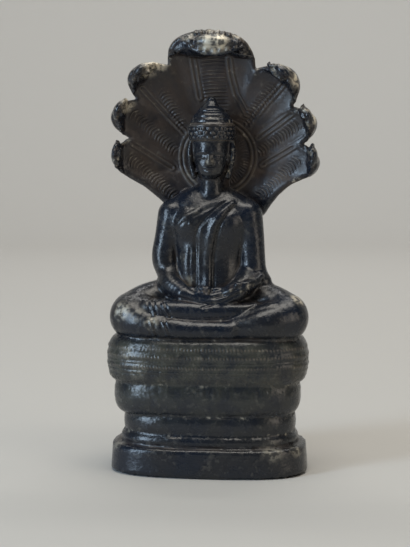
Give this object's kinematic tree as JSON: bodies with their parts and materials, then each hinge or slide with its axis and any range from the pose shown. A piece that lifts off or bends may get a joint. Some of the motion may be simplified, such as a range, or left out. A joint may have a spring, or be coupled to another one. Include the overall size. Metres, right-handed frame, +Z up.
{
  "type": "bronze buddha statue sheltered by a naga",
  "caption": "Seated meditating figure in cast bronze on a tapering stack of naga coils and a low plinth, under a wide scalloped naga hood.",
  "frame": {"origin": "on the underside of the plinth, under the middle of the casting", "axes": "+Z up, the figure faces -Y, +X towards the figure's left hand"},
  "size_m": [0.0867, 0.046, 0.1799],
  "materials": {
    "bronze": "near-black waxy patina on cast bronze, with brown dust in the hood and yellow metal where it is rubbed"
  },
  "bodies": {
    "root": {"naga_buddha_casting": "bronze"}
  },
  "joints": []
}
